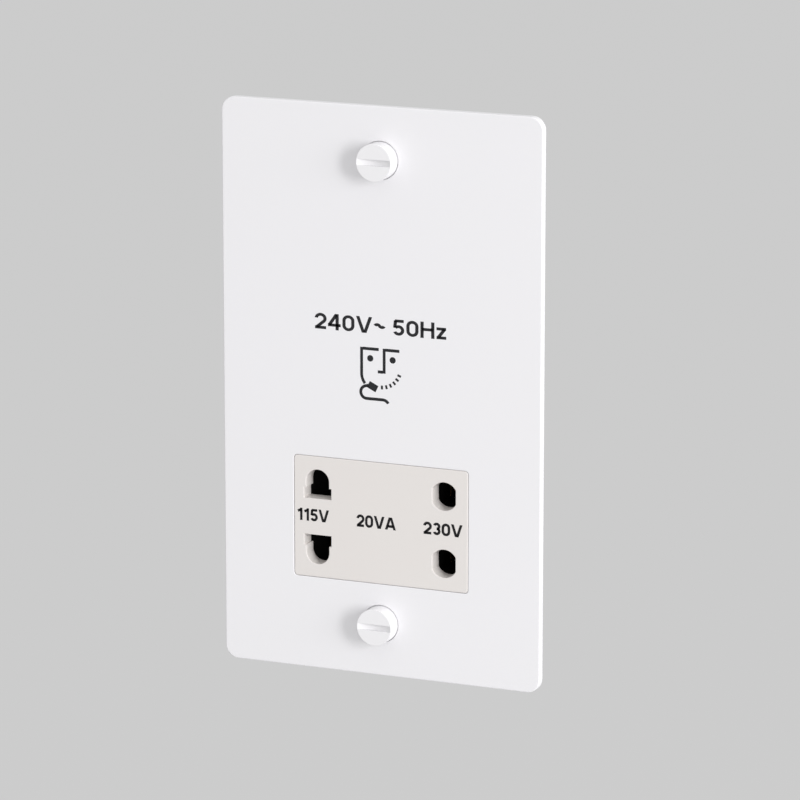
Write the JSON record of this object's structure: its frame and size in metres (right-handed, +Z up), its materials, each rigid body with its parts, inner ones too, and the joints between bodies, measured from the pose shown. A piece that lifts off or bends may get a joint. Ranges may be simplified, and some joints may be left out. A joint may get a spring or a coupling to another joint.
{
  "type": "shaver socket",
  "caption": "Wall-mounted dual-voltage shaver supply unit: flat metal plate with coin-slot screws, flush moulded outlets with an interlocking shutter, and a cased isolating transformer behind.",
  "frame": {"origin": "centre of the two fixing screws' pattern on the wall plane, which is the back of the plate's seal", "axes": "+Z up along the plate, +Y into the wall, +X to the right seen from the front"},
  "size_m": [0.088, 0.0449, 0.148],
  "materials": {
    "painted_white": "satin white powder coat",
    "moulded_white": "moulded off-white",
    "case_white": "moulded white",
    "gasket_rubber": "black seal",
    "nylon": "natural nylon",
    "black_moulding": "black",
    "grey_moulding": "dark grey",
    "bobbin_nylon": "natural nylon",
    "spring_steel": "drawn wire",
    "zinc_steel": "zinc plated",
    "contact_bronze": "phosphor bronze",
    "terminal_brass": "machined brass",
    "board_laminate": "paper laminate",
    "cutout_case": "black",
    "core_steel": "silicon steel laminations",
    "winding_copper": "enamelled copper"
  },
  "bodies": {
    "unit": {"front_plate": "painted_white", "fixing_screw_top": "painted_white", "fixing_screw_bottom": "painted_white", "socket_front": "moulded_white", "rear_housing": "case_white", "wall_gasket": "gasket_rubber", "screw_retainer_top": "nylon", "screw_retainer_bottom": "nylon", "terminal_block": "grey_moulding", "contact_carrier": "grey_moulding", "winding_bobbin": "bobbin_nylon", "shutter_spring": "spring_steel", "plate_studs": "zinc_steel", "stud_nuts": "zinc_steel", "block_screws": "zinc_steel", "contact_115_upper": "contact_bronze", "contact_115_lower": "contact_bronze", "contact_230_upper": "contact_bronze", "contact_230_lower": "contact_bronze", "terminal_live": "terminal_brass", "terminal_neutral": "terminal_brass", "earth_terminal": "terminal_brass", "terminal_screws": "terminal_brass", "bobbin_pins": "terminal_brass", "circuit_board": "board_laminate", "thermal_cutout": "cutout_case", "core_e_stack": "core_steel", "core_i_stack": "core_steel", "primary_winding": "winding_copper", "secondary_winding": "winding_copper"},
    "shutter": {"interlock_shutter": "black_moulding"}
  },
  "joints": [
    {"name": "shutter_slide", "type": "slide", "parent": "unit", "child": "shutter", "axis": [1, 0, 0], "range_m": [-0.0035, 0.0035], "stiffness_N_per_m": 600, "deforming": ["shutter_spring"]}
  ]
}
